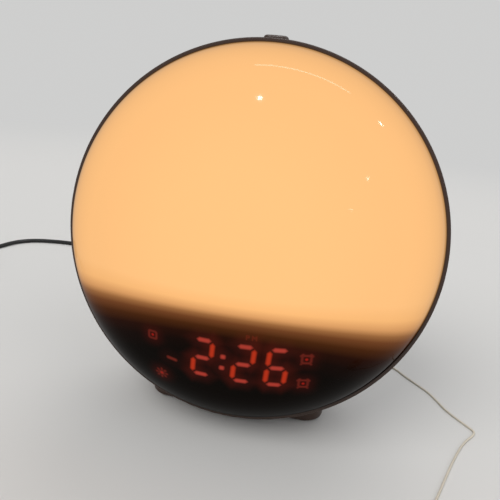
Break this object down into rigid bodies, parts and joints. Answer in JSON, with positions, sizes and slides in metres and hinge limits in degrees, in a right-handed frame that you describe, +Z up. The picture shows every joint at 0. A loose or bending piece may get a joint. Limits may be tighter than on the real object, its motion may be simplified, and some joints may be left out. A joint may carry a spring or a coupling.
{
  "type": "sunrise alarm clock",
  "caption": "Round bedside alarm clock that wakes with light: a domed diffuser with a lit upper part over a red time display, in a dished casing with snooze bar and side buttons.",
  "frame": {"origin": "on the table under the middle of the casing, at the bottom centre of the bounding box without its cords", "axes": "the face looks along -Y and leans back by 8 degrees; +X is the viewer's right; +Z is up"},
  "size_m": [0.3998, 0.2662, 0.1766],
  "materials": {
    "dome": "milky translucent polycarbonate, polished outside, lit warm from behind; emissive",
    "shell": "finely textured moulded plastic, shaded dark and warm beside the lit dome",
    "button": "satin moulded plastic with pressed icons",
    "snooze": "satin moulded plastic, slightly lighter than the casing",
    "foot_rubber": "matt ribbed rubber",
    "frame_white": "white reflective moulded plastic",
    "reflector_black": "black moulded plastic",
    "segment_red": "red diffusing resin, lit; emissive",
    "icon_red": "red diffusing resin, dimly lit; emissive",
    "board_white": "white solder resist",
    "board_green": "green solder resist on glass-fibre board",
    "led_white": "white lamp bodies with yellow phosphor",
    "chip_black": "black moulded epoxy",
    "can_steel": "drawn steel can",
    "capacitor_sleeve": "dark shrink sleeve",
    "socket_black": "black moulded plastic with a brass pin",
    "lead_black": "satin black soft jacket",
    "plug_black": "black overmoulding with grip rings",
    "plug_steel": "plated pressed steel",
    "aerial_white": "thin off-white soft jacket",
    "grommet_black": "black rubber",
    "speaker_steel": "zinc-plated pressed steel",
    "magnet_ferrite": "ground ferrite",
    "cone_paper": "black pressed paper",
    "surround_rubber": "soft rubber roll",
    "gasket_foam": "closed-cell foam",
    "screw_steel": "zinc-plated steel",
    "cell_steel": "polished nickel-plated steel",
    "contact_brass": "gold-plated spring bronze",
    "wire_jacket": "soft red jacket",
    "ribbon_grey": "flat grey cable"
  },
  "bodies": {
    "casing": {"front_dome": "dome", "rear_shell": "shell", "inner_frame": "frame_white", "light_board": "board_white", "white_leds": "led_white", "colour_leds": "board_white", "display_housing": "reflector_black", "display_segments": "segment_red", "display_icons": "icon_red", "display_board": "board_green", "main_board": "board_green", "main_chips": "chip_black", "crystal": "can_steel", "capacitors": "capacitor_sleeve", "dc_jack": "socket_black", "dc_plug": "plug_black", "power_lead": "lead_black", "power_lead_coil": "lead_black", "usb_plug": "plug_black", "usb_plug_shell": "plug_steel", "aerial_grommet": "grommet_black", "aerial_wire": "aerial_white", "aerial_wire_coil": "aerial_white", "speaker_basket": "speaker_steel", "speaker_magnet": "magnet_ferrite", "speaker_surround": "surround_rubber", "speaker_gasket": "gasket_foam", "speaker_screws": "screw_steel", "snooze_board": "board_green", "snooze_switches": "chip_black", "left_switch_board": "board_green", "right_switch_board": "board_green", "left_switches": "chip_black", "right_switches": "chip_black", "coin_cell": "cell_steel", "cell_clip": "contact_brass", "cell_spring": "contact_brass", "foot_pad": "foot_rubber", "shell_screws": "screw_steel", "dome_screws": "screw_steel", "board_screws": "screw_steel", "display_ribbon": "ribbon_grey", "light_board_lead": "wire_jacket", "speaker_leads": "wire_jacket", "jack_leads": "wire_jacket"},
    "snooze_bar": {"snooze_bar": "snooze"},
    "battery_door": {"battery_door": "shell", "door_screw": "screw_steel"},
    "speaker_cone": {"speaker_cone": "cone_paper"},
    "button_sound": {"button_sound": "button"},
    "button_light": {"button_light": "button"},
    "button_radio": {"button_radio": "button"},
    "button_sleep": {"button_sleep": "button"},
    "button_down": {"button_down": "button"},
    "button_up": {"button_up": "button"},
    "button_alarm_1": {"button_alarm_1": "button"},
    "button_alarm_2": {"button_alarm_2": "button"}
  },
  "joints": [
    {"name": "snooze_press", "type": "slide", "parent": "casing", "child": "snooze_bar", "axis": [0, -0.1392, -0.9903], "range_m": [0, 0.0008], "stiffness_N_per_m": 1500},
    {"name": "button_sound_press", "type": "slide", "parent": "casing", "child": "button_sound", "axis": [1, 0, 0], "range_m": [0, 0.0006], "stiffness_N_per_m": 1500},
    {"name": "button_light_press", "type": "slide", "parent": "casing", "child": "button_light", "axis": [1, 0, 0], "range_m": [0, 0.0006], "stiffness_N_per_m": 1500},
    {"name": "button_radio_press", "type": "slide", "parent": "casing", "child": "button_radio", "axis": [1, 0, 0], "range_m": [0, 0.0006], "stiffness_N_per_m": 1500},
    {"name": "button_sleep_press", "type": "slide", "parent": "casing", "child": "button_sleep", "axis": [1, 0, 0], "range_m": [0, 0.0006], "stiffness_N_per_m": 1500},
    {"name": "button_down_press", "type": "slide", "parent": "casing", "child": "button_down", "axis": [-1, 0, 0], "range_m": [0, 0.0006], "stiffness_N_per_m": 1500},
    {"name": "button_up_press", "type": "slide", "parent": "casing", "child": "button_up", "axis": [-1, 0, 0], "range_m": [0, 0.0006], "stiffness_N_per_m": 1500},
    {"name": "button_alarm_1_press", "type": "slide", "parent": "casing", "child": "button_alarm_1", "axis": [-1, 0, 0], "range_m": [0, 0.0006], "stiffness_N_per_m": 1500},
    {"name": "button_alarm_2_press", "type": "slide", "parent": "casing", "child": "button_alarm_2", "axis": [-1, 0, 0], "range_m": [0, 0.0006], "stiffness_N_per_m": 1500},
    {"name": "battery_door_lift", "type": "slide", "parent": "casing", "child": "battery_door", "axis": [0, 0.9903, -0.1392], "range_m": [0, 0.02]},
    {"name": "speaker_cone_throw", "type": "slide", "parent": "casing", "child": "speaker_cone", "axis": [0, 0.9903, -0.1392], "range_m": [-0.0003, 0.0003], "stiffness_N_per_m": 1200}
  ]
}
